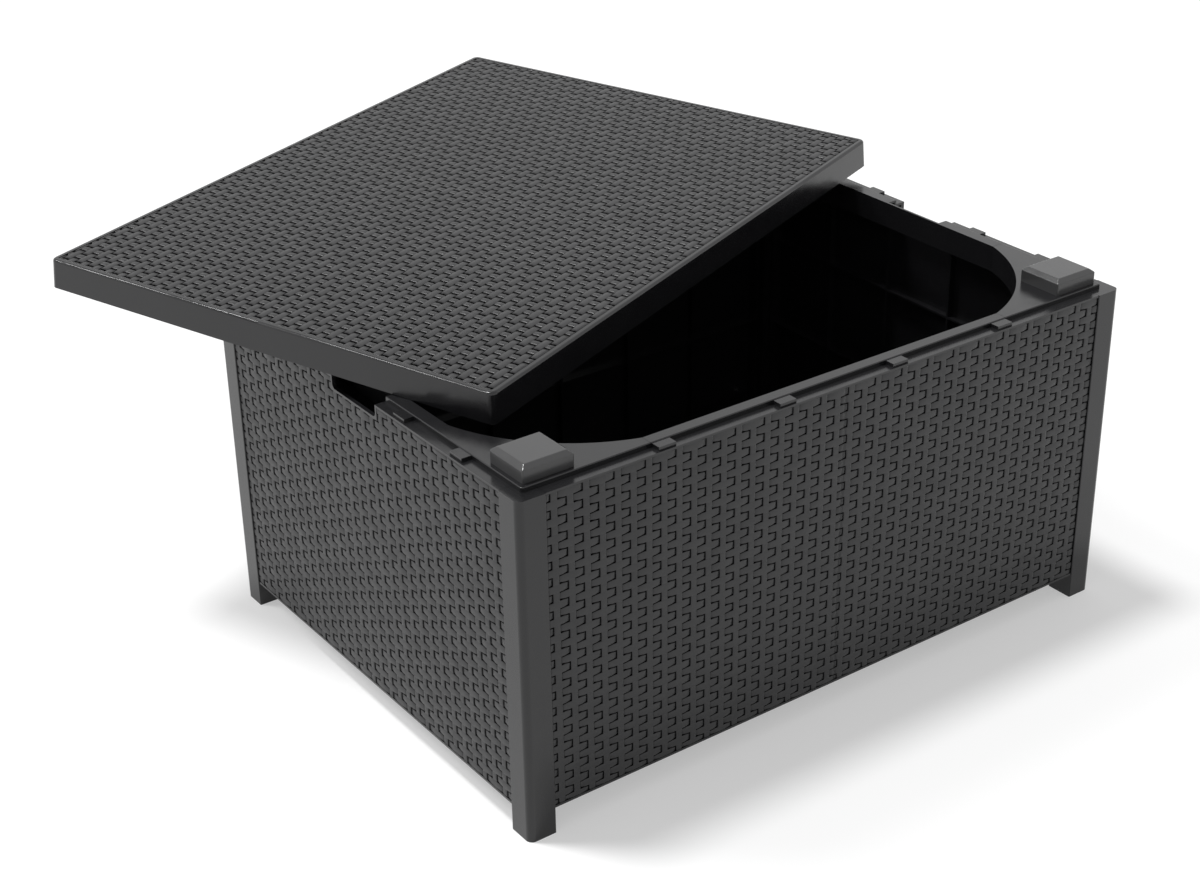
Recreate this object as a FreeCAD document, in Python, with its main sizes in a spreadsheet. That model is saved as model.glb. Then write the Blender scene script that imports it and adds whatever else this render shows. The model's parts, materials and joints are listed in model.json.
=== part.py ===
"""Storage coffee table in moulded resin: a box of four posts and four panels under a loose lid.

Millimetres, +Z up, long side along X. The origin is on the floor under the middle of the box.
At rest the lid lies turned and tilted across the open box, on one corner cap and one side rail.
"""

import FreeCAD, Part
import math
import os
import re

import Sketcher

# Driving sizes in millimetres, angles in degrees, counts as plain numbers.
SIZES = {
    "box_length": 780,
    "box_width": 582,
    "post_height": 376,
    "post_side": 31,
    "post_wall": 3,
    "post_round": 7,
    "edge_round": 1,
    "leg_gap": 29,
    "panel_recess": 2.5,
    "panel_skin": 3,
    "panel_depth": 18,
    "panel_flange": 3,
    "lip_proud": 1.5,
    "lip_height": 2.5,
    "tongue_length": 8,
    "tongue_thick": 6,
    "fit_gap": 0.3,
    "rib_thick": 2.5,
    "rib_depth": 8,
    "long_panel_ribs": 6,
    "short_panel_ribs": 4,
    "hold_width": 84,
    "hold_depth": 14,
    "hold_round": 5,
    "rim_inset": 14,
    "rim_rise": 5,
    "rim_wall": 2.5,
    "rim_drop": 30,
    "rim_round": 3,
    "long_rail_width": 13,
    "short_rail_width": 15,
    "corner_length": 144.5,
    "corner_width": 146,
    "corner_bow": 23,
    "peg_inset": 6,
    "peg_radius": 4,
    "peg_length": 12,
    "hook_length": 20,
    "hook_reach": 11,
    "hook_rise": 4,
    "long_hooks": 4,
    "short_hooks": 2,
    "long_hook_margin": 11.2,
    "short_hook_margin": 46.7,
    "corner_hook_margin": 54,
    "cap_length": 57,
    "cap_width": 54,
    "cap_height": 17,
    "cap_margin": 5,
    "cap_slope_run": 5,
    "cap_slope_fall": 4,
    "cap_round": 1.8,
    "cap_wall": 2.5,
    "spigot_inset": 12,
    "spigot_drop": 7,
    "floor_thick": 3,
    "floor_gap": 1,
    "floor_rib_depth": 8,
    "floor_ribs_across": 6,
    "floor_ribs_along": 4,
    "lid_overhang": 1,
    "lid_height": 32.5,
    "lid_wall": 3,
    "lid_skin": 3.5,
    "field_margin": 3,
    "field_depth": 1.2,
    "lid_draft": 3.6,
    "lid_corner_round": 8,
    "lid_edge_round": 3,
    "lid_rib_depth": 6,
    "lid_ribs_across": 7,
    "lid_ribs_along": 5,
    "socket_depth": 12,
    "socket_wall": 2.5,
    "socket_gap": 1,
    "lid_turn": 21.15,
    "lid_shift_left": 66,
    "lid_shift_back": 257,
    "lid_back_rise": 0.0325,
}

# How close two measures are to count as one, and how steep an edge is to count as upright.
NEAR = 0.01
STEEP = 5

doc = FreeCAD.newDocument("storage_coffee_table")
sheet = doc.addObject("Spreadsheet::Sheet", "sizes")
for row, (alias, number) in enumerate(SIZES.items(), start=1):
    sheet.set(f"A{row}", alias.replace("_", " "))
    sheet.set(f"B{row}", str(number))
    sheet.setAlias(f"B{row}", alias)
doc.recompute()


def size(alias):
    """The number that the sheet holds under an alias."""
    return float(sheet.get(alias))


def count(alias):
    return int(round(size(alias)))


def bind(thing, prop, text):
    """Binds a property to an expression in which the sheet's aliases stand by themselves."""
    linked = re.sub(r"[a-z_]+", lambda word: "sizes." + word[0] if word[0] in SIZES else word[0], text)
    thing.setExpression(prop, linked)


def new_body(label):
    body = doc.addObject("PartDesign::Body", label)
    body.Label = label
    return body


def rectangle(sketch, x0, y0, length, width):
    """Draws a rectangle whose low corner and two sides are expressions."""
    corners = [(0, 0), (1, 0), (1, 1), (0, 1)]
    points = [FreeCAD.Vector(x, y, 0) for x, y in corners]
    first = sketch.GeometryCount
    for k in range(4):
        sketch.addGeometry(Part.LineSegment(points[k], points[(k + 1) % 4]), False)
    for k in range(4):
        sketch.addConstraint(Sketcher.Constraint("Coincident", first + k, 2, first + (k + 1) % 4, 1))
    for k, way in enumerate(("Horizontal", "Vertical", "Horizontal", "Vertical")):
        sketch.addConstraint(Sketcher.Constraint(way, first + k))
    drawn = (
        ("DistanceX", (-1, 1, first, 1), x0),
        ("DistanceY", (-1, 1, first, 1), y0),
        ("DistanceX", (first, 1, first, 2), length),
        ("DistanceY", (first + 1, 1, first + 1, 2), width),
    )
    for way, ends, text in drawn:
        index = sketch.addConstraint(Sketcher.Constraint(way, *ends, 1.0))
        bind(sketch, f"Constraints[{index}]", text)


def level_sketch(body, name, z0, rectangles):
    """A sketch on the body's own XY plane, lifted to z0."""
    sketch = body.newObject("Sketcher::SketchObject", name)
    plane = next(item for item in body.Origin.OriginFeatures if item.Role == "XY_Plane")
    sketch.AttachmentSupport = [(plane, "")]
    sketch.MapMode = "FlatFace"
    bind(sketch, "AttachmentOffset.Base.z", z0)
    for sides in rectangles:
        rectangle(sketch, *sides)
    return sketch


def pad(body, name, z0, height, rectangles, taper=None):
    """Adds material from z0 upwards over each rectangle."""
    feature = body.newObject("PartDesign::Pad", name)
    feature.Profile = level_sketch(body, name + "_outline", z0, rectangles)
    bind(feature, "Length", height)
    if taper:
        bind(feature, "TaperAngle", taper)
    return feature


def pocket(body, name, z0, height, rectangles, taper=None):
    """Removes material from z0 upwards over each rectangle."""
    feature = body.newObject("PartDesign::Pocket", name)
    feature.Profile = level_sketch(body, name + "_outline", z0, rectangles)
    feature.Reversed = True
    bind(feature, "Length", height)
    if taper:
        bind(feature, "TaperAngle", taper)
    return feature


def near(value, target):
    return abs(value - target) < NEAR


def edges_where(shape, wanted):
    """Numbers of the edges whose ends and middle, as a list of points, pass a test."""
    numbers = []
    for number, edge in enumerate(shape.Edges, start=1):
        middle = edge.valueAt((edge.FirstParameter + edge.LastParameter) / 2)
        if wanted([vertex.Point for vertex in edge.Vertexes] + [middle]):
            numbers.append(number)
    return numbers


def level_at(height):
    return lambda points: all(near(point.z, height) for point in points)


def upright(points):
    """True for an edge with two ends that rises much more than it runs."""
    step = points[1] - points[0]
    return len(points) == 3 and abs(step.z) > STEEP * math.hypot(step.x, step.y)


def upright_at(across, along):
    """Test for an upright edge over a place in plan."""
    return lambda points: upright(points) and all(near(p.x, across) and near(p.y, along) for p in points)


def dress(body, kind, name, wanted):
    """Starts a fillet or chamfer of the edges that pass a test."""
    doc.recompute()
    base = body.Tip
    feature = body.newObject("PartDesign::" + kind, name)
    feature.Base = (base, [f"Edge{number}" for number in edges_where(base.Shape, wanted)])
    return feature


def fillet(body, name, radius, wanted):
    feature = dress(body, "Fillet", name, wanted)
    bind(feature, "Radius", radius)
    return feature


def rounded(label, base, radius, wanted):
    """A rounded copy of a solid that is no body."""
    doc.recompute()
    solid = doc.addObject("Part::Fillet", label)
    solid.Base = base
    solid.Edges = [(number, size(radius), size(radius)) for number in edges_where(base.Shape, wanted)]
    return solid


def block(x0, y0, z0, length, width, height):
    """A plain box whose low corner and three sides are expressions."""
    solid = doc.addObject("Part::Box", "block")
    props = ("Length", "Width", "Height", "Placement.Base.x", "Placement.Base.y", "Placement.Base.z")
    for prop, text in zip(props, (length, width, height, x0, y0, z0)):
        bind(solid, prop, text)
    return solid


def drum(x0, y0, z0, radius, height):
    """A plain upright cylinder."""
    solid = doc.addObject("Part::Cylinder", "drum")
    props = ("Radius", "Height", "Placement.Base.x", "Placement.Base.y", "Placement.Base.z")
    for prop, text in zip(props, (radius, height, x0, y0, z0)):
        bind(solid, prop, text)
    return solid


def fused(label, solids):
    joined = doc.addObject("Part::MultiFuse", label)
    joined.Shapes = solids
    joined.Refine = True
    return joined


def cut(label, base, tool):
    rest = doc.addObject("Part::Cut", label)
    rest.Base = base
    rest.Tool = tool
    rest.Refine = True
    return rest


def mirrored(source, normal):
    copy = doc.addObject("Part::Mirroring", "mirror_image")
    copy.Source = source
    copy.Normal = normal
    return copy


X_AXIS = FreeCAD.Vector(1, 0, 0)
Y_AXIS = FreeCAD.Vector(0, 1, 0)
Z_AXIS = FreeCAD.Vector(0, 0, 1)
ORIGIN = FreeCAD.Vector(0, 0, 0)
SIDES = {
    "back": (0, "Placement.Base.y", "box_width / 2"),
    "right": (-90, "Placement.Base.x", "box_length / 2"),
    "front": (180, "Placement.Base.y", "-box_width / 2"),
    "left": (90, "Placement.Base.x", "-box_length / 2"),
}
RIM_TOP = "(post_height + rim_rise)"
RIM_RIGHT = "(box_length / 2 - rim_inset)"
RIM_BACK = "(box_width / 2 - rim_inset)"
TONGUE_IN = "(panel_recess + panel_depth / 2 + tongue_thick / 2)"
PEG_X = f"({RIM_RIGHT} - rim_wall - peg_inset)"
PEG_Y = f"({RIM_BACK} - rim_wall - peg_inset)"
CAP_X = f"({RIM_RIGHT} - cap_margin - cap_length)"
CAP_Y = f"({RIM_BACK} - cap_margin - cap_width)"
parts = []


def add_part(thing, label):
    thing.Label = label
    parts.append(thing)
    return thing


def set_on_side(thing, side):
    """Turns a piece drawn along X, its outside towards +Y, to a side of the box."""
    angle, prop, text = SIDES[side]
    thing.Placement = FreeCAD.Placement(ORIGIN, FreeCAD.Rotation(Z_AXIS, angle))
    bind(thing, prop, text)


def four_corners(stem, source):
    """The piece at the back right corner and its mirror images at the other three."""
    add_part(source, stem + "_back_right")
    left = add_part(mirrored(source, X_AXIS), stem + "_back_left")
    add_part(mirrored(source, Y_AXIS), stem + "_front_right")
    add_part(mirrored(left, Y_AXIS), stem + "_front_left")


def make_post():
    """Square hollow post at the back right corner, closed on top, slotted for two panel tongues."""
    body = new_body("post_shell")
    low_x = "(box_length / 2 - post_side)"
    low_y = "(box_width / 2 - post_side)"
    pad(body, "post_block", "0", "post_height", [(low_x, low_y, "post_side", "post_side")])
    right = size("box_length") / 2
    back = size("box_width") / 2
    inner_x = right - size("post_side")
    inner_y = back - size("post_side")
    fillet(body, "outer_round", "post_round", upright_at(right, back))
    fillet(body, "right_round", "edge_round", upright_at(right, inner_y))
    fillet(body, "back_round", "edge_round", upright_at(inner_x, back))
    inside = "post_side - 2 * post_wall"
    hollow = (f"{low_x} + post_wall", f"{low_y} + post_wall", inside, inside)
    pocket(body, "post_hollow", "0", "post_height - post_wall", [hollow])
    slot = "tongue_thick + 2 * fit_gap"
    along = (low_x, f"box_width / 2 - {TONGUE_IN} - fit_gap", "post_wall", slot)
    across = (f"box_length / 2 - {TONGUE_IN} - fit_gap", low_y, slot, "post_wall")
    pocket(body, "tongue_slots", "leg_gap", "post_height - post_wall - leg_gap", [along, across])
    hole = drum(PEG_X, PEG_Y, "post_height - 2 * post_wall", "peg_radius + fit_gap", "3 * post_wall")
    return cut("post_with_peg_hole", body, hole)


def make_panel(side, span, ribs, handhold):
    """Wall panel drawn along X, outside at +Y: skin, flanges, ribs, lips and end tongues."""
    body = new_body("panel_body_" + side)
    half = f"({span} / 2 - post_side - fit_gap)"
    full = f"(2 * {half})"
    tall = "(post_height - leg_gap)"
    skin_back = "(-panel_recess - panel_skin)"
    deep = "(-panel_recess - panel_depth)"
    pad(body, "skin", "leg_gap", tall, [(f"-{half}", skin_back, full, "panel_skin")])
    ends = [
        (f"-{half}", deep, "panel_flange", "panel_depth"),
        (f"{half} - panel_flange", deep, "panel_flange", "panel_depth"),
    ]
    pad(body, "end_flanges", "leg_gap", tall, ends)
    whole = (f"-{half}", deep, full, "panel_depth")
    pad(body, "bottom_flange", "leg_gap", "panel_flange", [whole])
    pad(body, "top_flange", "post_height - panel_flange", "panel_flange", [whole])
    rib_back = f"{skin_back} - rib_depth"
    uprights = [
        (f"-{half} + {k} * {full} / {ribs + 1} - rib_thick / 2", rib_back, "rib_thick", "rib_depth")
        for k in range(1, ribs + 1)
    ]
    pad(body, "upright_ribs", "leg_gap", tall, uprights)
    for k in (1, 2):
        level_rib = (f"-{half}", rib_back, full, "rib_depth")
        pad(body, f"level_rib_{k}", f"leg_gap + {tall} * {k} / 3", "rib_thick", [level_rib])
    lip = (f"-{half}", "-panel_recess", full, "lip_proud")
    pad(body, "bottom_lip", "leg_gap", "lip_height", [lip])
    pad(body, "top_lip", "post_height - lip_height", "lip_height", [lip])
    tongues = [
        (f"-{half} - tongue_length", f"-{TONGUE_IN}", "tongue_length", "tongue_thick"),
        (half, f"-{TONGUE_IN}", "tongue_length", "tongue_thick"),
    ]
    pad(body, "end_tongues", "leg_gap + fit_gap", f"{tall} - post_wall - 2 * fit_gap", tongues)
    if handhold:
        wide = "hold_width + 2 * lip_height"
        frame = ("-hold_width / 2 - lip_height", "-panel_recess", wide, "lip_proud")
        lip_low = "post_height - hold_depth - lip_height"
        pad(body, "handhold_lip", lip_low, "hold_depth + lip_height", [frame])
        notch = ("-hold_width / 2", deep, "hold_width", "panel_depth + lip_proud")
        pocket(body, "handhold", "post_height - hold_depth", "hold_depth", [notch])
        low = size("post_height") - size("hold_depth")
        end = size("hold_width") / 2
        fillet(
            body,
            "handhold_rounds",
            "hold_round",
            lambda points: level_at(low)(points) and all(near(abs(p.x), end) for p in points),
        )
    set_on_side(body, side)
    return body


def hook_middles(half, margin, hooks):
    """Middles of equally spaced hooks, the outer ones a margin in from the rail's ends."""
    reach = f"({half} - {margin})"
    return [f"-{reach} + {k} * 2 * {reach} / {hooks - 1}" for k in range(hooks)]


def make_rail(side, half, width, hooks, handhold):
    """Rim rail over a panel: a channel with a long inner flange, and snap hooks on its outside."""
    long = f"(2 * {half})"
    inner = f"(-rim_inset - {width})"
    solids = [
        block(f"-{half}", inner, f"{RIM_TOP} - rim_wall", long, width, "rim_wall"),
        block(f"-{half}", "-rim_inset - rim_wall", "post_height", long, "rim_wall", "rim_rise"),
        block(f"-{half}", inner, f"{RIM_TOP} - rim_drop", long, "rim_wall", "rim_drop"),
    ]
    channel = fused("rail_channel_" + side, solids)
    top = size("post_height") + size("rim_rise")
    outer = -size("rim_inset")
    channel = rounded(
        "rail_rounded_" + side,
        channel,
        "edge_round",
        lambda points: level_at(top)(points) and all(near(p.y, outer) for p in points),
    )
    sunk = "-rim_inset - rim_wall"
    reach = "hook_reach + rim_wall"
    tabs = [
        block(f"{middle} - hook_length / 2", sunk, "post_height", "hook_length", reach, "hook_rise")
        for middle in hooks
    ]
    rail = fused("rail_hooked_" + side, [channel] + tabs)
    if handhold:
        clear = f"{inner} + rim_wall"
        gap = block("-hold_width / 2", clear, "post_height", "hold_width", width, "2 * rim_rise")
        rail = cut("rail_notched_" + side, rail, gap)
    set_on_side(rail, side)
    return rail


def make_rim_corner():
    """Corner plate at the back right, curved towards the opening, with a peg into the post."""
    low_x = f"({RIM_RIGHT} - corner_length)"
    low_y = f"({RIM_BACK} - corner_width)"
    run_x = "(corner_length - short_rail_width)"
    run_y = "(corner_width - long_rail_width)"
    chord = f"sqrt({run_x} ^ 2 + {run_y} ^ 2)"
    radius = f"((({chord} / 2) ^ 2 + corner_bow ^ 2) / (2 * corner_bow))"
    centre_x = f"{low_x} + {run_x} / 2 - ({radius} - corner_bow) * {run_y} / {chord}"
    centre_y = f"{low_y} + {run_y} / 2 - ({radius} - corner_bow) * {run_x} / {chord}"
    drop_z = f"{RIM_TOP} - rim_drop"
    flange = doc.addObject("Part::Common", "curved_flange")
    flange.Base = block(low_x, low_y, drop_z, "corner_length", "corner_width", "rim_drop")
    flange.Tool = drum(centre_x, centre_y, drop_z, f"{radius} + rim_wall", "rim_drop")
    solids = [
        block(low_x, low_y, f"{RIM_TOP} - rim_wall", "corner_length", "corner_width", "rim_wall"),
        flange,
        block(low_x, f"{RIM_BACK} - rim_wall", "post_height", "corner_length", "rim_wall", "rim_rise"),
        block(f"{RIM_RIGHT} - rim_wall", low_y, "post_height", "rim_wall", "corner_width", "rim_rise"),
    ]
    plate = fused("corner_plate", solids)
    right = size("box_length") / 2 - size("rim_inset")
    back = size("box_width") / 2 - size("rim_inset")
    top = size("post_height") + size("rim_rise")
    plate = rounded("corner_plate_turned", plate, "rim_round", upright_at(right, back))
    plate = rounded(
        "corner_plate_rounded",
        plate,
        "edge_round",
        lambda points: level_at(top)(points) and (near(points[-1].x, right) or near(points[-1].y, back)),
    )
    sunk = f"{RIM_RIGHT} - rim_wall"
    reach = "hook_reach + rim_wall"
    hook_y = f"{low_y} + corner_hook_margin - hook_length / 2"
    hook = block(sunk, hook_y, "post_height", reach, "hook_length", "hook_rise")
    peg_low = "post_height - peg_length"
    peg = drum(PEG_X, PEG_Y, peg_low, "peg_radius", "peg_length + rim_rise - rim_wall / 2")
    whole = fused("corner_plate_pegged", [plate, hook, peg])
    opening = drum(centre_x, centre_y, f"{drop_z} - 1", radius, "rim_drop + 2")
    curved = cut("corner_plate_curved", whole, opening)
    socket = block(
        f"{CAP_X} + spigot_inset - fit_gap",
        f"{CAP_Y} + spigot_inset - fit_gap",
        f"{RIM_TOP} - 2 * rim_wall",
        "cap_length - 2 * spigot_inset + 2 * fit_gap",
        "cap_width - 2 * spigot_inset + 2 * fit_gap",
        "3 * rim_wall",
    )
    return cut("corner_plate_holed", curved, socket)


def make_cap():
    """Block on the corner plate that locates the closed lid: sloped top edges and a hollow spigot."""
    body = new_body("cap_body")
    pad(body, "cap_block", RIM_TOP, "cap_height", [(CAP_X, CAP_Y, "cap_length", "cap_width")])
    top = size("post_height") + size("rim_rise") + size("cap_height")
    slope = dress(body, "Chamfer", "top_slope", level_at(top))
    slope.ChamferType = "Two distances"
    bind(slope, "Size", "cap_slope_fall")
    bind(slope, "Size2", "cap_slope_run")
    base = size("post_height") + size("rim_rise")
    fillet(body, "edge_rounds", "cap_round", lambda points: points[-1].z > base + NEAR)
    low = f"{RIM_TOP} - rim_wall - spigot_drop"
    spigot_length = "(cap_length - 2 * spigot_inset)"
    spigot_width = "(cap_width - 2 * spigot_inset)"
    spigot = (f"{CAP_X} + spigot_inset", f"{CAP_Y} + spigot_inset", spigot_length, spigot_width)
    pad(body, "spigot", low, "rim_wall + spigot_drop", [spigot])
    core = (
        f"{CAP_X} + spigot_inset + cap_wall",
        f"{CAP_Y} + spigot_inset + cap_wall",
        f"{spigot_length} - 2 * cap_wall",
        f"{spigot_width} - 2 * cap_wall",
    )
    pocket(body, "cap_hollow", low, "rim_wall + spigot_drop + cap_height - cap_wall", [core])
    return body


def spread(half, ribs):
    """Low sides of equally spaced ribs that fill a span to both its ends."""
    return [f"-{half} + {k} * (2 * {half} - rib_thick) / {ribs - 1}" for k in range(ribs)]


def make_floor():
    """Floor plate on the panels' bottom flanges, notched round the posts and ribbed below."""
    body = new_body("floor_body")
    inside = "(panel_recess + panel_skin + rib_depth + floor_gap)"
    half_x = f"(box_length / 2 - {inside})"
    half_y = f"(box_width / 2 - {inside})"
    level = "leg_gap + panel_flange"
    plate = (f"-{half_x}", f"-{half_y}", f"2 * {half_x}", f"2 * {half_y}")
    pad(body, "plate", level, "floor_thick", [plate])
    clear_x = "(box_length / 2 - post_side - panel_flange - floor_gap)"
    clear_y = "(box_width / 2 - post_side - panel_flange - floor_gap)"
    notches = [
        (x0, y0, "post_side", "post_side")
        for x0 in (clear_x, f"-{clear_x} - post_side")
        for y0 in (clear_y, f"-{clear_y} - post_side")
    ]
    pocket(body, "post_notches", level, "floor_thick", notches)
    rows = spread(clear_x, count("floor_ribs_across"))
    across = [(x0, f"-{clear_y}", "rib_thick", f"2 * {clear_y}") for x0 in rows]
    pad(body, "ribs_across", f"{level} - floor_rib_depth", "floor_rib_depth", across)
    rows = spread(clear_y, count("floor_ribs_along"))
    along = [(f"-{clear_x}", y0, f"2 * {clear_x}", "rib_thick") for y0 in rows]
    pad(body, "ribs_along", f"{level} - floor_rib_depth", "floor_rib_depth", along)
    return body


def make_lid():
    """Lid drawn closed: its origin is in the middle of the skirt's lower edge."""
    body = new_body("lid_body")
    half_x = "(box_length / 2 + lid_overhang)"
    half_y = "(box_width / 2 + lid_overhang)"
    outline = (f"-{half_x}", f"-{half_y}", f"2 * {half_x}", f"2 * {half_y}")
    pad(body, "lid_block", "0", "lid_height", [outline], "-lid_draft")
    fillet(body, "corner_rounds", "lid_corner_round", upright)
    fillet(body, "top_round", "lid_edge_round", level_at(size("lid_height")))
    in_x = f"({half_x} - lid_wall)"
    in_y = f"({half_y} - lid_wall)"
    inside = (f"-{in_x}", f"-{in_y}", f"2 * {in_x}", f"2 * {in_y}")
    pocket(body, "lid_hollow", "0", "lid_height - lid_skin", [inside], "-lid_draft")
    rib_z = "lid_height - lid_skin - lid_rib_depth"
    rows = spread(in_x, count("lid_ribs_across"))[1:-1]
    across = [(x0, f"-{in_y}", "rib_thick", f"2 * {in_y}") for x0 in rows]
    pad(body, "ribs_across", rib_z, "lid_rib_depth", across)
    rows = spread(in_y, count("lid_ribs_along"))[1:-1]
    along = [(f"-{in_x}", y0, f"2 * {in_x}", "rib_thick") for y0 in rows]
    pad(body, "ribs_along", rib_z, "lid_rib_depth", along)
    rings = []
    for margin in ("(socket_gap + socket_wall)", "socket_gap"):
        length = f"(cap_length + 2 * {margin})"
        width = f"(cap_width + 2 * {margin})"
        for x0 in (f"{CAP_X} - {margin}", f"-{CAP_X} + {margin} - {length}"):
            for y0 in (f"{CAP_Y} - {margin}", f"-{CAP_Y} + {margin} - {width}"):
                rings.append((x0, y0, length, width))
    pad(body, "cap_sockets", "lid_height - lid_skin - socket_depth", "socket_depth", rings)
    border = "(lid_height * tan(lid_draft) + lid_edge_round + field_margin)"
    field_x = f"({half_x} - {border})"
    field_y = f"({half_y} - {border})"
    field = (f"-{field_x}", f"-{field_y}", f"2 * {field_x}", f"2 * {field_y}")
    pocket(body, "woven_field", "lid_height - field_depth", "field_depth", [field])
    return body


def rest_lid(lid):
    """Lays the lid turned and tilted over the open box, on the back right cap and the left rail."""
    turn = math.radians(size("lid_turn"))
    middle_x = -size("lid_shift_left")
    middle_y = size("lid_shift_back")
    half_x = size("box_length") / 2 + size("lid_overhang")
    half_y = size("box_width") / 2 + size("lid_overhang")
    rail_top = size("post_height") + size("rim_rise")
    seat_right_x = size("box_length") / 2 - size("rim_inset") - size("cap_margin") - size("cap_slope_run")
    cap_back = size("box_width") / 2 - size("rim_inset") - size("cap_margin")
    seat_right_y = cap_back - size("cap_width") + size("cap_slope_run")
    seat_right_z = rail_top + size("cap_height") + size("fit_gap")
    seat_left_x = -(size("box_length") / 2 - size("rim_inset") - size("short_rail_width"))
    # Where the lid's left edge crosses the inner edge of the left rail, seen from above.
    corner_x = middle_x - half_x * math.cos(turn) + half_y * math.sin(turn)
    corner_y = middle_y - half_x * math.sin(turn) - half_y * math.cos(turn)
    seat_left_y = corner_y + (corner_x - seat_left_x) / math.tan(turn)
    seat_left_z = rail_top + size("fit_gap")
    back_rise = size("lid_back_rise")
    rise = seat_right_z - seat_left_z - back_rise * (seat_right_y - seat_left_y)
    right_rise = rise / (seat_right_x - seat_left_x)
    middle_z = seat_right_z - right_rise * (seat_right_x - middle_x) - back_rise * (seat_right_y - middle_y)
    normal = FreeCAD.Vector(-right_rise, -back_rise, 1)
    tilt = FreeCAD.Rotation(Z_AXIS, normal)
    spin = FreeCAD.Rotation(Z_AXIS, size("lid_turn"))
    lid.Placement = FreeCAD.Placement(FreeCAD.Vector(middle_x, middle_y, middle_z), tilt.multiply(spin))


def check_and_write():
    doc.recompute()
    for thing in doc.Objects:
        faults = [state for state in thing.State if state in ("Invalid", "Error")]
        if faults:
            raise RuntimeError(f"{thing.Label} is {faults}")
        if thing.TypeId == "PartDesign::Pocket":
            taken = thing.BaseFeature.Shape.Volume - thing.Shape.Volume
            if taken <= 0:
                raise RuntimeError(f"{thing.Label} cuts nothing")
    for thing in parts:
        if thing.Shape.isNull() or not thing.Shape.isValid():
            raise RuntimeError(f"{thing.Label} has no valid shape")
    os.makedirs("parts", exist_ok=True)
    for thing in parts:
        thing.Shape.exportStep(f"parts/{thing.Label}.step")
        print(thing.Label, len(thing.Shape.Solids), round(thing.Shape.Volume / 1000, 1))


def main():
    four_corners("post", make_post())
    long_half = f"({RIM_RIGHT} - corner_length - fit_gap)"
    short_half = f"({RIM_BACK} - corner_width - fit_gap)"
    long_hooks = hook_middles(long_half, "long_hook_margin", count("long_hooks"))
    short_hooks = hook_middles(short_half, "short_hook_margin", count("short_hooks"))
    for side in ("front", "back"):
        panel = make_panel(side, "box_length", count("long_panel_ribs"), False)
        add_part(panel, "panel_" + side)
        rail = make_rail(side, long_half, "long_rail_width", long_hooks, False)
        add_part(rail, "rim_rail_" + side)
    for side in ("left", "right"):
        panel = make_panel(side, "box_width", count("short_panel_ribs"), True)
        add_part(panel, "panel_" + side)
        rail = make_rail(side, short_half, "short_rail_width", short_hooks, True)
        add_part(rail, "rim_rail_" + side)
    four_corners("rim_corner", make_rim_corner())
    four_corners("corner_cap", make_cap())
    add_part(make_floor(), "floor_panel")
    lid = add_part(make_lid(), "lid")
    rest_lid(lid)
    check_and_write()


main()
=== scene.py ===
"""Storage coffee table in wicker-look resin, its loose lid lying askew over the open box.

Metres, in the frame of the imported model: +Z up, the long side along X.
"""

import json
import math

import bpy
import numpy as np
from mathutils import Matrix, Vector


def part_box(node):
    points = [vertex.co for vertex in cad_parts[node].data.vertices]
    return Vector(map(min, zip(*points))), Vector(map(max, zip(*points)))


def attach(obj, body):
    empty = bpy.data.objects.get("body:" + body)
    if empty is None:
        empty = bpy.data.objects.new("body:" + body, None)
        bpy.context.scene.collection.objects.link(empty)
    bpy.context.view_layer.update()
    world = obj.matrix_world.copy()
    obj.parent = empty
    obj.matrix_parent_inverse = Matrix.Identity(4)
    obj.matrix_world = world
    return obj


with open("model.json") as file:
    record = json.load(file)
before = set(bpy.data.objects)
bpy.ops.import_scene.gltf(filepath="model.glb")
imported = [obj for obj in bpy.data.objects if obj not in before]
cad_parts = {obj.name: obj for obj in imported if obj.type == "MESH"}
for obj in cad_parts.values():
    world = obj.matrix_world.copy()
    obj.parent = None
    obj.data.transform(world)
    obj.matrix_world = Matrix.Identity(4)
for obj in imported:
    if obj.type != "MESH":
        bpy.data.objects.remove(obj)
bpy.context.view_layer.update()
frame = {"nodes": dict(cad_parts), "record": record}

MM = 0.001

# The photograph's camera, fitted to the edges of the box.
PHOTO_WIDTH = 1200
FOCAL_PIXELS = 2111.8
SENSOR_MM = 36.0
CAMERA_PLACE = Vector((-1.27892, -1.66241, 1.28064))
CAMERA_AZIMUTH = math.radians(-35.544)
CAMERA_ELEVATION = math.radians(27.473)
CAMERA_ROLL = math.radians(-0.997)

# The woven relief: upright strands, and rows of level strands that pass over every second one and
# dive under the others. First the distances from an upright's middle line: its flat top, its edge,
# the slit beside it, and where the level strand dives and bends.
STRAND_PITCH = 17.85 * MM
STRAND_FLAT = 2.3 * MM
STRAND_EDGE = 3.6 * MM
SLIT_NEAR = 3.75 * MM
SLIT_FAR = 4.05 * MM
DIVE_END = 4.3 * MM
DIVE_BEND = 7.2 * MM
OVER_FLAT = 3.0 * MM

# Heights over the ground of the weave, and how far its sheet is bedded below that ground.
OVER_HEIGHT = 1.35 * MM
STRAND_HEIGHT = 1.3 * MM
DIVE_HEIGHT = 0.45 * MM
GROUND_HEIGHT = 0.05 * MM
ROW_GROOVE = 0.08 * MM
BEDDING = 0.2 * MM

# Lines beside the gap between two rows, and how far a high strand's edge has sunk at each.
ROW_LINES = (0.25 * MM, 0.75 * MM, 1.4 * MM)
HIGH_SHARES = (0.2, 0.04, 0)
MOAT_BANK = 0.3 * MM
LEAST_CELL = 0.1 * MM

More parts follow.
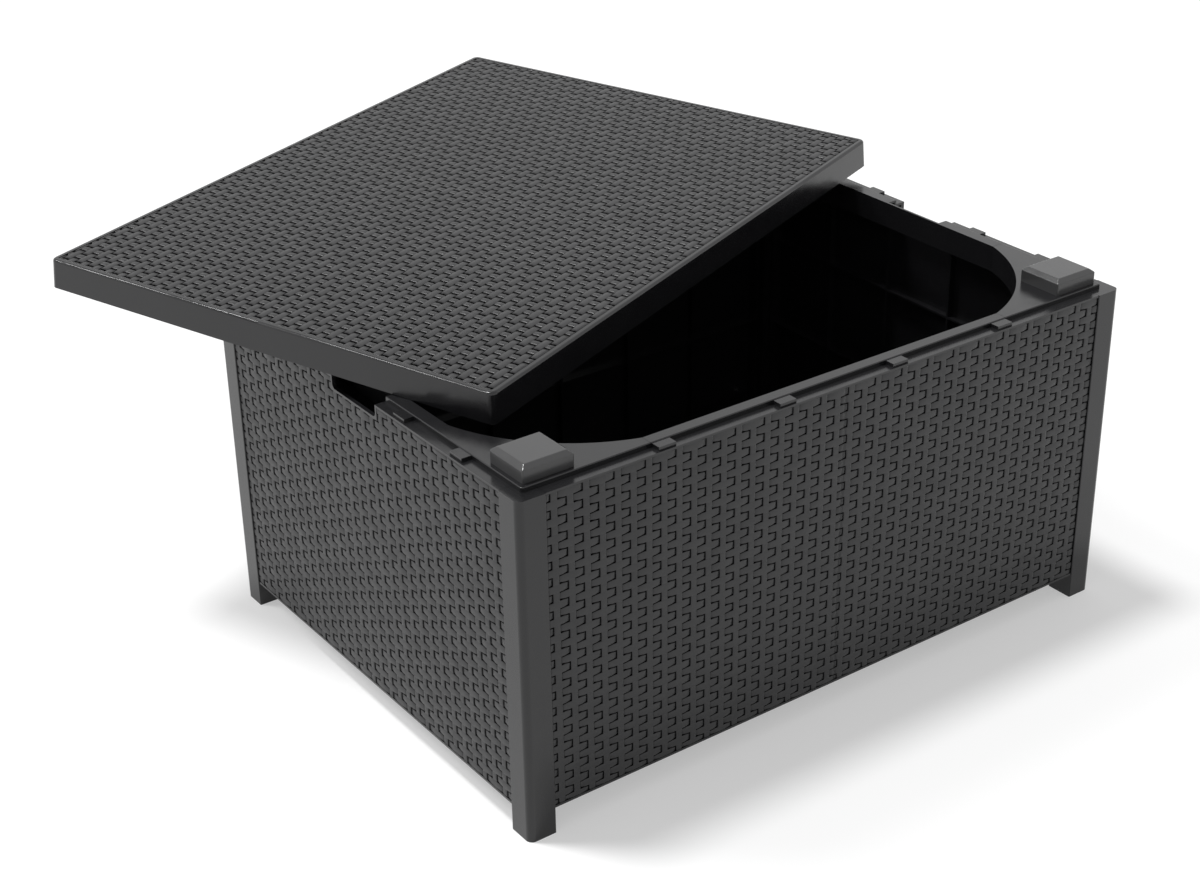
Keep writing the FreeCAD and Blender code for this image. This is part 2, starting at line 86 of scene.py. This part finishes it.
# What the panels and the lid have of their own: the height of a row, how far a strand is domed, the
# heights of an upright's edge and of the slit beside it, how far a low strand's edge has sunk at
# each row line and how fast that ends along the strand, the band above a gap that the painted shade
# leaves bright, the groove round the sheet and the share of the relief.
PANEL_WEAVE = {
    "row": 8.85 * MM,
    "crown": 0.25 * MM,
    "edge": 1.15 * MM,
    "slit": 0.0,
    "low_shares": (1, 0.85, 0),
    "low_power": 2,
    "rim": 0.06 * MM,
    "moat": 0.0,
    "relief": 1.0,
}
LID_WEAVE = {
    "row": 8.97 * MM,
    "crown": 0.7 * MM,
    "edge": 0.8 * MM,
    "slit": 0.5 * MM,
    "low_shares": (1, 1, 0.7),
    "low_power": 2.7,
    "rim": 0.0,
    "moat": 0.7 * MM,
    "relief": 0.85,
}

# A strand, and the lower side of a row in which it is on top: from the middle of a panel seen
# from outside and from the floor, or from the middle of the lid.
LONG_PANEL_PHASE = (-349.9 * MM, 365.05 * MM)
SHORT_PANEL_PHASE = (158.2 * MM, 358.2 * MM)
LID_PHASE = (-8.95 * MM, -203.57 * MM)

# Sizes that the weave shares with the panels and the lid.
LIP_PROUD = 1.5 * MM
LIP_HEIGHT = 2.5 * MM
TONGUE_LENGTH = 8 * MM
HOLD_WIDTH = 84 * MM
HOLD_DEPTH = 14 * MM
LID_FIELD_X = 382.96 * MM
LID_FIELD_Y = 283.96 * MM
LID_TURN = math.radians(21.15)

# Finishes: the two colours of the mottling, the least and most roughness, and the grain.
WOVEN_FINISH = {
    "colour": (0.014, 0.014, 0.015, 1),
    "shade": (0.011, 0.011, 0.012, 1),
    "roughness": (0.36, 0.48),
    "grain": 0.35,
}
BODY_FINISH = {
    "colour": (0.012, 0.012, 0.013, 1),
    "shade": (0.010, 0.010, 0.011, 1),
    "roughness": (0.17, 0.24),
    "grain": 0.08,
}
# The caps' resin is the body's grey painted lighter: a painted reflection standing in for the
# brightness that their tops catch.
LIT_CAP_FINISH = {
    "colour": (0.055, 0.055, 0.056, 1),
    "shade": (0.049, 0.049, 0.050, 1),
    "roughness": (0.15, 0.21),
    "grain": 0.08,
}

# Noise patterns, in waves per metre. The streaks' one lies on a stretched place instead.
MOTTLE = {"Scale": 14.0, "Detail": 4}
SMUDGES = {"Scale": 60.0, "Detail": 3}
FINE_GRAIN = {"Scale": 1400.0, "Detail": 2}
STREAKS = {"Scale": 1.0, "Detail": 2}
STREAK_STRETCH = (150, 1600, 1)
NOISE_MIDDLE = (0.3, 0.7)
GRAIN_DEPTH = 0.1 * MM

# The weave's gaps, painted with shade: the drop at which a place is fully deep, the share of it over
# which the colour is painted dark as shade, and how much rougher it gets there. The shine is taken out
# there too, deepening the painted shade.
DARK_BELOW = 0.45 * MM
PAINTED_SHADE_SPAN = (0.05, 0.5)
# Painted shade: the colour that the deep gaps are painted.
PAINTED_SHADE_COLOUR = (0.001, 0.001, 0.001, 1)
GAP_ROUGHNESS = 0.5
FULL_SHINE = 0.5

# The empty border of a sheet's flat map.
MAP_MARGIN = 3 * MM

# Lights and floor. The shadow on the floor gives the key light's direction and its width. The rim
# light comes from lower on the same side, for the highlight along the lid's left edge.
WHITE = (1, 1, 1, 1)
FLOOR_HALF = 30.0
FLOOR_COLOUR = (0.55, 0.55, 0.55, 1)
FLOOR_ROUGHNESS = 0.9
FLOOR_SHINE = 0.1
FLOOR_GLOW = 0.41
MIRRORED_GLOW = 0.37
KEY_FROM = (-0.2, 0.237, 1)
KEY_ANGLE = 0.18
KEY_LEVEL = 2.1
RIM_FROM = (-0.435, 0.482, 0.774)
RIM_ANGLE = 0.25
RIM_LEVEL = 0.9
WORLD_LEVEL = 0.45
CEILING_LEVEL = 0.7
CEILING_SPAN = (0.35, 0.85)


def grid_lines(low, high, pitch, phase, offsets, banks):
    """Cuts of a span: its ends, the banks of the groove round the sheet, and the same offsets about
    each line of a regular row."""
    first = math.floor((low - phase) / pitch) - 1
    last = math.ceil((high - phase) / pitch) + 1
    fixed = [low, high] + banks
    kept = [at for at in fixed if low <= at <= high]
    for at in (phase + k * pitch + offset for k in range(first, last + 1) for offset in offsets):
        if low < at < high and min(abs(at - other) for other in fixed) > LEAST_CELL:
            kept.append(at)
    return sorted(kept)


def weave_grid(sheet, part, weave, phase, notch):
    """The points of one part of a woven sheet and the faces between them, outside the notch."""
    cuts = (STRAND_FLAT, STRAND_EDGE, SLIT_NEAR, SLIT_FAR, DIVE_END, DIVE_BEND)
    strand_offsets = [side * cut for cut in cuts for side in (-1, 1)]
    row_offsets = [side * line for line in ROW_LINES for side in (-1, 1)] + [weave["row"] / 2]
    depths = (weave["moat"], weave["moat"] + MOAT_BANK) if weave["moat"] else ()
    column_banks, row_banks = (
        [bank for inwards in depths for bank in (low + inwards, high - inwards)] for low, high in sheet
    )
    columns = grid_lines(*part[0], STRAND_PITCH, phase[0], strand_offsets, column_banks)
    rows = grid_lines(*part[1], weave["row"], phase[1], row_offsets, row_banks)
    if notch:
        columns = sorted(set(columns) | {-notch[0], notch[0]})
        rows = sorted(set(rows) | {notch[1]})
    across, up = (grid.ravel() for grid in np.meshgrid(columns, rows))
    wide = len(columns)
    first = np.array([r * wide + c for r in range(len(rows) - 1) for c in range(wide - 1)])
    if notch:
        middle_across = (across[first] + across[first + 1]) / 2
        middle_up = (up[first] + up[first + wide]) / 2
        first = first[(np.abs(middle_across) > notch[0]) | (middle_up < notch[1])]
    faces = np.stack([first, first + 1, first + wide + 1, first + wide], axis=1)
    used, faces = np.unique(faces, return_inverse=True)
    return across[used], up[used], faces.reshape(-1, 4)


def strand_height(off, on_top, weave):
    """Height at a distance from the nearest upright strand, which is on top or passed over."""
    upright = np.interp(
        off,
        (STRAND_FLAT, STRAND_EDGE, SLIT_NEAR, SLIT_FAR, DIVE_END),
        (STRAND_HEIGHT, weave["edge"], weave["slit"], weave["slit"], DIVE_HEIGHT),
    )
    run = np.where(on_top, STRAND_PITCH - off, off)
    fall = np.clip((run - OVER_FLAT) / (STRAND_PITCH - DIVE_END - OVER_FLAT), 0, 1)
    level = OVER_HEIGHT - (OVER_HEIGHT - DIVE_HEIGHT) * fall**2
    return np.where(on_top & (off < DIVE_END), upright, level)


def weave_height(across, up, weave, phase):
    """Height of the woven surface over its ground at each point, how deep in a gap it is as the
    share of painted shade it gets, and where an upright strand is on top."""
    row_pitch = weave["row"]
    crown = weave["crown"]
    strand = np.round((across - phase[0]) / STRAND_PITCH).astype(int)
    row = np.floor((up - phase[1]) / row_pitch).astype(int)
    off = np.abs(across - phase[0] - strand * STRAND_PITCH)
    past = up - phase[1] - row * row_pitch
    from_gap = np.minimum(past, row_pitch - past)
    on_top = (strand + row) % 2 == 0
    own = strand_height(off, on_top, weave)
    other = strand_height(off, ~on_top, weave)
    between = np.interp(off, (STRAND_EDGE, DIVE_END), (0, 1))
    top = own * (1 - crown / OVER_HEIGHT * (2 * past / row_pitch - 1) ** 2)
    bottom = np.maximum((np.minimum(own, other) - crown - ROW_GROOVE) * (1 - between), 0)
    lowness = np.interp(own, (DIVE_HEIGHT, OVER_HEIGHT), (1, 0)) ** weave["low_power"] * between
    high_share = np.interp(from_gap, ROW_LINES, HIGH_SHARES)
    low_share = np.interp(from_gap, ROW_LINES, weave["low_shares"])
    share = high_share + (low_share - high_share) * lowness
    height = top * (1 - share) + np.minimum(bottom, top) * share
    # Painted shade: a point is painted darker the lower it lies and the further it has sunk below its
    # strand's top, less the rim's allowance.
    shade_by_drop = np.maximum(1 - height / DARK_BELOW, (top - height - weave["rim"]) / DARK_BELOW)
    return height, np.clip(shade_by_drop, 0, 1), on_top & (off < DIVE_END)


def moat_share(across, up, sheet, moat):
    """One in the groove round the whole woven sheet, and nought inside it."""
    if not moat:
        return np.zeros(len(across))
    (left, right), (bottom, top) = sheet
    inwards = np.minimum.reduce([across - left, right - across, up - bottom, top - up])
    return np.clip(1 - (inwards - moat) / MOAT_BANK, 0, 1)


def border_of(faces):
    """The ring of vertices round a sheet of faces, in order."""
    starts = faces.ravel()
    ends = np.roll(faces, -1, axis=1).ravel()
    pairs = set(zip(starts.tolist(), ends.tolist()))
    after = {a: b for a, b in pairs if (b, a) not in pairs}
    ring = [min(after)]
    while after[ring[-1]] != ring[0]:
        ring.append(after[ring[-1]])
    return ring


def add_weave(name, place, sheet, part, weave, phase, notch=None):
    """A closed sheet with a woven face, one part of the whole woven sheet. place turns (across, up,
    height) into the model's frame."""
    across, up, faces = weave_grid(sheet, part, weave, phase, notch)
    height, gap_shade, upright = weave_height(across, up, weave, phase)
    moat = moat_share(across, up, sheet, weave["moat"])
    ring = border_of(faces)
    count = len(across)
    sides = len(ring)
    low = [count + k for k in range(sides)]
    walls = [(ring[(k + 1) % sides], ring[k], low[k], low[(k + 1) % sides]) for k in range(sides)]
    points = np.zeros((count + sides, 3))
    points[:, 0] = np.concatenate([across, across[ring]])
    points[:, 1] = np.concatenate([up, up[ring]])
    points[:count, 2] = weave["relief"] * height * (1 - moat) + GROUND_HEIGHT
    points[count:, 2] = -BEDDING
    turned = points @ np.array(place.to_3x3()).T + np.array(place.translation)
    mesh = bpy.data.meshes.new(name)
    mesh.from_pydata(turned.tolist(), [], faces.tolist() + walls + [tuple(reversed(low))])
    # Painted shade: how dark each point is painted, from the gaps and the groove round the sheet, and
    # full on the walls and underneath.
    painted_shade = np.ones(count + sides)
    painted_shade[:count] = np.maximum(gap_shade, moat)
    mesh.attributes.new("painted_shade", "FLOAT", "POINT").data.foreach_set("value", painted_shade)
    along = points.copy()
    along[:count][upright, :2] = points[:count][upright][:, 1::-1]
    mesh.attributes.new("along", "FLOAT_VECTOR", "POINT").data.foreach_set("vector", along.ravel())
    smooth = np.ones(len(mesh.polygons), bool)
    smooth[len(faces):] = False
    mesh.polygons.foreach_set("use_smooth", smooth)
    add_map(mesh, points[:, :2], ring, faces)
    piece = bpy.data.objects.new(name, mesh)
    bpy.context.scene.collection.objects.link(piece)
    return piece


def add_map(mesh, plan, ring, faces):
    """A flat map of a woven sheet, with its walls laid outwards and its underside moved clear."""
    low = plan.min(axis=0)
    span = plan.max(axis=0) - low
    gap = 2 * MAP_MARGIN
    shift = np.array([span[0] + gap, 0]) if span[0] < span[1] else np.array([0, span[1] + gap])
    scale = 1 / (max(span + shift) + gap)
    here = plan[ring]
    there = np.roll(here, -1, axis=0)
    along = (there - here) / np.linalg.norm(there - here, axis=1)[:, None]
    out = np.stack([along[:, 1], -along[:, 0]], axis=1) * (OVER_HEIGHT + BEDDING)
    walls = np.stack([there, here, here + out, there + out], axis=1).reshape(-1, 2)
    under = here[::-1] + shift
    laid = np.concatenate([plan[faces.ravel()], walls, under])
    places = (laid - low + MAP_MARGIN) * scale
    mesh.uv_layers.new(name="OFBake").uv.foreach_set("vector", places.ravel().astype(np.float32))


def finish_piece(piece, body, material):
    piece.data.materials.append(material)
    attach(piece, body)


def facing(right, out, origin):
    """Places a sheet drawn with across to the right, up upwards and its face outwards."""
    up = Vector(out).cross(Vector(right))
    columns = Matrix((Vector(right), up, Vector(out))).transposed()
    return Matrix.Translation(Vector(origin)) @ columns.to_4x4()


def add_panel_weaves(material):
    """The woven faces of the four panels, between their lips. The long ones come in two halves."""
    sides = {
        "front": ((1, 0, 0), (0, -1, 0)),
        "back": ((-1, 0, 0), (0, 1, 0)),
        "left": ((0, -1, 0), (-1, 0, 0)),
        "right": ((0, 1, 0), (1, 0, 0)),
    }
    for side, (right, out) in sides.items():
        low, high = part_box("panel_" + side)
        long = side in ("front", "back")
        half = (high.x if long else high.y) - TONGUE_LENGTH
        faces_at = max(abs(low.dot(Vector(out))), abs(high.dot(Vector(out)))) - LIP_PROUD
        place = facing(right, out, Vector(out) * faces_at)
        notch = None if long else (HOLD_WIDTH / 2 + LIP_HEIGHT, high.z - HOLD_DEPTH - LIP_HEIGHT)
        spans = {"_left": (-half, 0), "_right": (0, half)} if long else {"": (-half, half)}
        up_span = (low.z + LIP_HEIGHT, high.z - LIP_HEIGHT)
        sheet = ((-half, half), up_span)
        phase = LONG_PANEL_PHASE if long else SHORT_PANEL_PHASE
        for ending, span in spans.items():
            name = f"weave_{side}{ending}"
            piece = add_weave(name, place, sheet, (span, up_span), PANEL_WEAVE, phase, notch)
            finish_piece(piece, "box", material)


def add_lid_weaves(material):
    """The woven top of the lid, in four quarters, lying in the recess of the tilted lid."""
    top = next(mount for mount in frame["record"]["mounts"] if mount["name"] == "lid_top")
    normal = Vector(top["axis"]).normalized()
    tilt = Vector((0, 0, 1)).rotation_difference(normal)
    spin = Matrix.Rotation(LID_TURN, 4, "Z")
    place = Matrix.Translation(Vector(top["pos_m"])) @ tilt.to_matrix().to_4x4() @ spin
    sheet = ((-LID_FIELD_X, LID_FIELD_X), (-LID_FIELD_Y, LID_FIELD_Y))
    halfway = LID_PHASE[1] + round(-LID_PHASE[1] / LID_WEAVE["row"]) * LID_WEAVE["row"]
    across_spans = {"left": (-LID_FIELD_X, 0), "right": (0, LID_FIELD_X)}
    up_spans = {"front": (-LID_FIELD_Y, halfway), "back": (halfway, LID_FIELD_Y)}
    for across_name, across_span in across_spans.items():
        for up_name, up_span in up_spans.items():
            name = f"weave_lid_{up_name}_{across_name}"
            piece = add_weave(name, place, sheet, (across_span, up_span), LID_WEAVE, LID_PHASE)
            finish_piece(piece, "lid", material)


def feed(node, inputs):
    """Links each named input of a node to a socket, or sets it to a value."""
    for key, value in inputs.items():
        if isinstance(value, bpy.types.NodeSocket):
            node.id_data.links.new(value, node.inputs[key])
        else:
            node.inputs[key].default_value = value


def add_node(tree, kind, inputs, **settings):
    """A new node, with its settings made before its inputs are fed. Returns its outputs."""
    node = tree.nodes.new(kind)
    for key, value in settings.items():
        setattr(node, key, value)
    feed(node, inputs)
    return node.outputs


def map_range(tree, value, before, after=(0, 1)):
    """The value, taken from one range to another."""
    inputs = {
        "Value": value,
        "From Min": before[0],
        "From Max": before[1],
        "To Min": after[0],
        "To Max": after[1],
    }
    return add_node(tree, "ShaderNodeMapRange", inputs)["Result"]


def combine(tree, operation, *values, use_clamp=False):
    """The result of one operation on sockets and numbers."""
    inputs = dict(enumerate(values))
    return add_node(tree, "ShaderNodeMath", inputs, operation=operation, use_clamp=use_clamp)[0]


def mix(tree, share, first, second):
    """A colour between two others, by the second one's share. The node has a set of inputs for each
    kind of data, and 6 and 7 are its colours."""
    return add_node(tree, "ShaderNodeMix", {0: share, 6: first, 7: second}, data_type="RGBA")[2]


def noise(tree, place, pattern):
    return add_node(tree, "ShaderNodeTexNoise", {"Vector": place, **pattern})["Fac"]


def new_material(name):
    """A material of one principled shader. Returns it, its node tree and the shader."""
    material = bpy.data.materials.new(name)
    material.use_nodes = True
    tree = material.node_tree
    tree.nodes.clear()
    shader = tree.nodes.new("ShaderNodeBsdfPrincipled")
    add_node(tree, "ShaderNodeOutputMaterial", {"Surface": shader.outputs["BSDF"]})
    return material, tree, shader


def resin_parts(tree, finish):
    """A resin's faint mottling and uneven gloss, and the place that keeps them on the piece."""
    place = add_node(tree, "ShaderNodeTexCoord", {})["Object"]
    mottle = map_range(tree, noise(tree, place, MOTTLE), NOISE_MIDDLE)
    tint = mix(tree, mottle, finish["shade"], finish["colour"])
    gloss = map_range(tree, noise(tree, place, SMUDGES), NOISE_MIDDLE, finish["roughness"])
    return tint, gloss, place


def grained(tree, finish, height):
    """The surface's direction with a fine grain of that height."""
    inputs = {"Strength": finish["grain"], "Distance": GRAIN_DEPTH, "Height": height}
    return add_node(tree, "ShaderNodeBump", inputs)["Normal"]


def plain_resin(name, finish):
    """Moulded resin with an even grain."""
    material, tree, shader = new_material(name)
    tint, gloss, place = resin_parts(tree, finish)
    feed(shader, {
        "Base Color": tint,
        "Roughness": gloss,
        "Normal": grained(tree, finish, noise(tree, place, FINE_GRAIN)),
    })
    return material


def woven_resin():
    """The same resin with streaks along each strand, and painted shade down in the weave: darker,
    rougher and without shine where the gaps are deep."""
    material, tree, shader = new_material("woven_resin")
    tint, gloss, _ = resin_parts(tree, WOVEN_FINISH)
    along = add_node(tree, "ShaderNodeAttribute", {}, attribute_name="along")["Vector"]
    inputs = {0: along, 1: STREAK_STRETCH}
    stretched = add_node(tree, "ShaderNodeVectorMath", inputs, operation="MULTIPLY")["Vector"]
    sunk = add_node(tree, "ShaderNodeAttribute", {}, attribute_name="painted_shade")["Fac"]
    painted_shade = map_range(tree, sunk, PAINTED_SHADE_SPAN)
    feed(shader, {
        # Painted shade: the gaps are painted near-black, made rougher and lose their shine.
        "Base Color": mix(tree, painted_shade, tint, PAINTED_SHADE_COLOUR),
        "Roughness": combine(tree, "MULTIPLY_ADD", painted_shade, GAP_ROUGHNESS, gloss, use_clamp=True),
        "Specular IOR Level": map_range(tree, painted_shade, (0, 1), (FULL_SHINE, 0)),
        "Normal": grained(tree, WOVEN_FINISH, noise(tree, stretched, STREAKS)),
    })
    return material


def dress_frame():
    """Gives every carried-over piece its resin."""
    body_resin = plain_resin("moulded_resin", BODY_FINISH)
    cap_resin = plain_resin("cap_resin", LIT_CAP_FINISH)
    for name, node in frame["nodes"].items():
        node.data.materials.clear()
        # The caps get the lighter resin, painted light for the reflection on their tops.
        node.data.materials.append(cap_resin if name.startswith("corner_cap") else body_resin)


def add_camera():
    """The photograph's camera, turned by azimuth, elevation and roll."""
    back = Vector((
        math.sin(CAMERA_AZIMUTH) * math.cos(CAMERA_ELEVATION),
        -math.cos(CAMERA_AZIMUTH) * math.cos(CAMERA_ELEVATION),
        math.sin(CAMERA_ELEVATION),
    ))
    level = Vector((math.cos(CAMERA_AZIMUTH), math.sin(CAMERA_AZIMUTH), 0))
    upright = back.cross(level)
    right = level * math.cos(CAMERA_ROLL) + upright * math.sin(CAMERA_ROLL)
    up = upright * math.cos(CAMERA_ROLL) - level * math.sin(CAMERA_ROLL)
    data = bpy.data.cameras.new("camera")
    data.sensor_width = SENSOR_MM
    data.lens = FOCAL_PIXELS * SENSOR_MM / PHOTO_WIDTH
    camera = bpy.data.objects.new("camera", data)
    turn = Matrix((right, up, back)).transposed().to_4x4()
    camera.matrix_world = Matrix.Translation(CAMERA_PLACE) @ turn
    bpy.context.scene.collection.objects.link(camera)
    bpy.context.scene.camera = camera


def add_lamp(name, comes_from, angle, level):
    """A soft, far light."""
    data = bpy.data.lights.new(name, "SUN")
    data.angle = angle
    data.energy = level
    lamp = bpy.data.objects.new(name, data)
    lamp.rotation_euler = Vector(comes_from).to_track_quat("Z", "Y").to_euler()
    bpy.context.scene.collection.objects.link(lamp)


def seen_directly(tree, seen, mirrored):
    """The level seen where the camera sees a surface, mirrored where a mirror or a glass does, and
    nought where the surface only gives light."""
    path = add_node(tree, "ShaderNodeLightPath", {})
    by_camera = combine(tree, "MULTIPLY", path["Is Camera Ray"], seen)
    through = combine(tree, "MAXIMUM", path["Is Glossy Ray"], path["Is Transmission Ray"])
    return combine(tree, "MAXIMUM", by_camera, combine(tree, "MULTIPLY", through, mirrored))


def add_floor():
    """Pale floor that looks white where it is lit and keeps the object's shadow."""
    mesh = bpy.data.meshes.new("floor")
    corners = [(x * FLOOR_HALF, y * FLOOR_HALF, 0) for x, y in ((-1, -1), (1, -1), (1, 1), (-1, 1))]
    mesh.from_pydata(corners, [], [(0, 1, 2, 3)])
    floor = bpy.data.objects.new("floor", mesh)
    bpy.context.scene.collection.objects.link(floor)
    material, tree, shader = new_material("floor")
    feed(shader, {
        "Base Color": FLOOR_COLOUR,
        "Roughness": FLOOR_ROUGHNESS,
        "Specular IOR Level": FLOOR_SHINE,
        "Emission Color": WHITE,
        "Emission Strength": seen_directly(tree, FLOOR_GLOW, MIRRORED_GLOW),
    })
    mesh.materials.append(material)


def add_world():
    """White where it is seen, a little less from overhead, and a soft level of light elsewhere."""
    world = bpy.data.worlds.new("studio")
    bpy.context.scene.world = world
    world.use_nodes = True
    tree = world.node_tree
    tree.nodes.clear()
    direction = add_node(tree, "ShaderNodeTexCoord", {})["Generated"]
    upwards = add_node(tree, "ShaderNodeSeparateXYZ", {0: direction})["Z"]
    ceiling = map_range(tree, upwards, CEILING_SPAN, (1, CEILING_LEVEL))
    level = map_range(tree, seen_directly(tree, 1, 1), (0, 1), (WORLD_LEVEL, ceiling))
    background = add_node(tree, "ShaderNodeBackground", {"Color": WHITE, "Strength": level})
    add_node(tree, "ShaderNodeOutputWorld", {"Surface": background["Background"]})


woven = woven_resin()
add_panel_weaves(woven)
add_lid_weaves(woven)
dress_frame()
add_camera()
add_lamp("key", KEY_FROM, KEY_ANGLE, KEY_LEVEL)
add_lamp("rim", RIM_FROM, RIM_ANGLE, RIM_LEVEL)
add_floor()
add_world()
bpy.context.scene.view_settings.view_transform = "Standard"
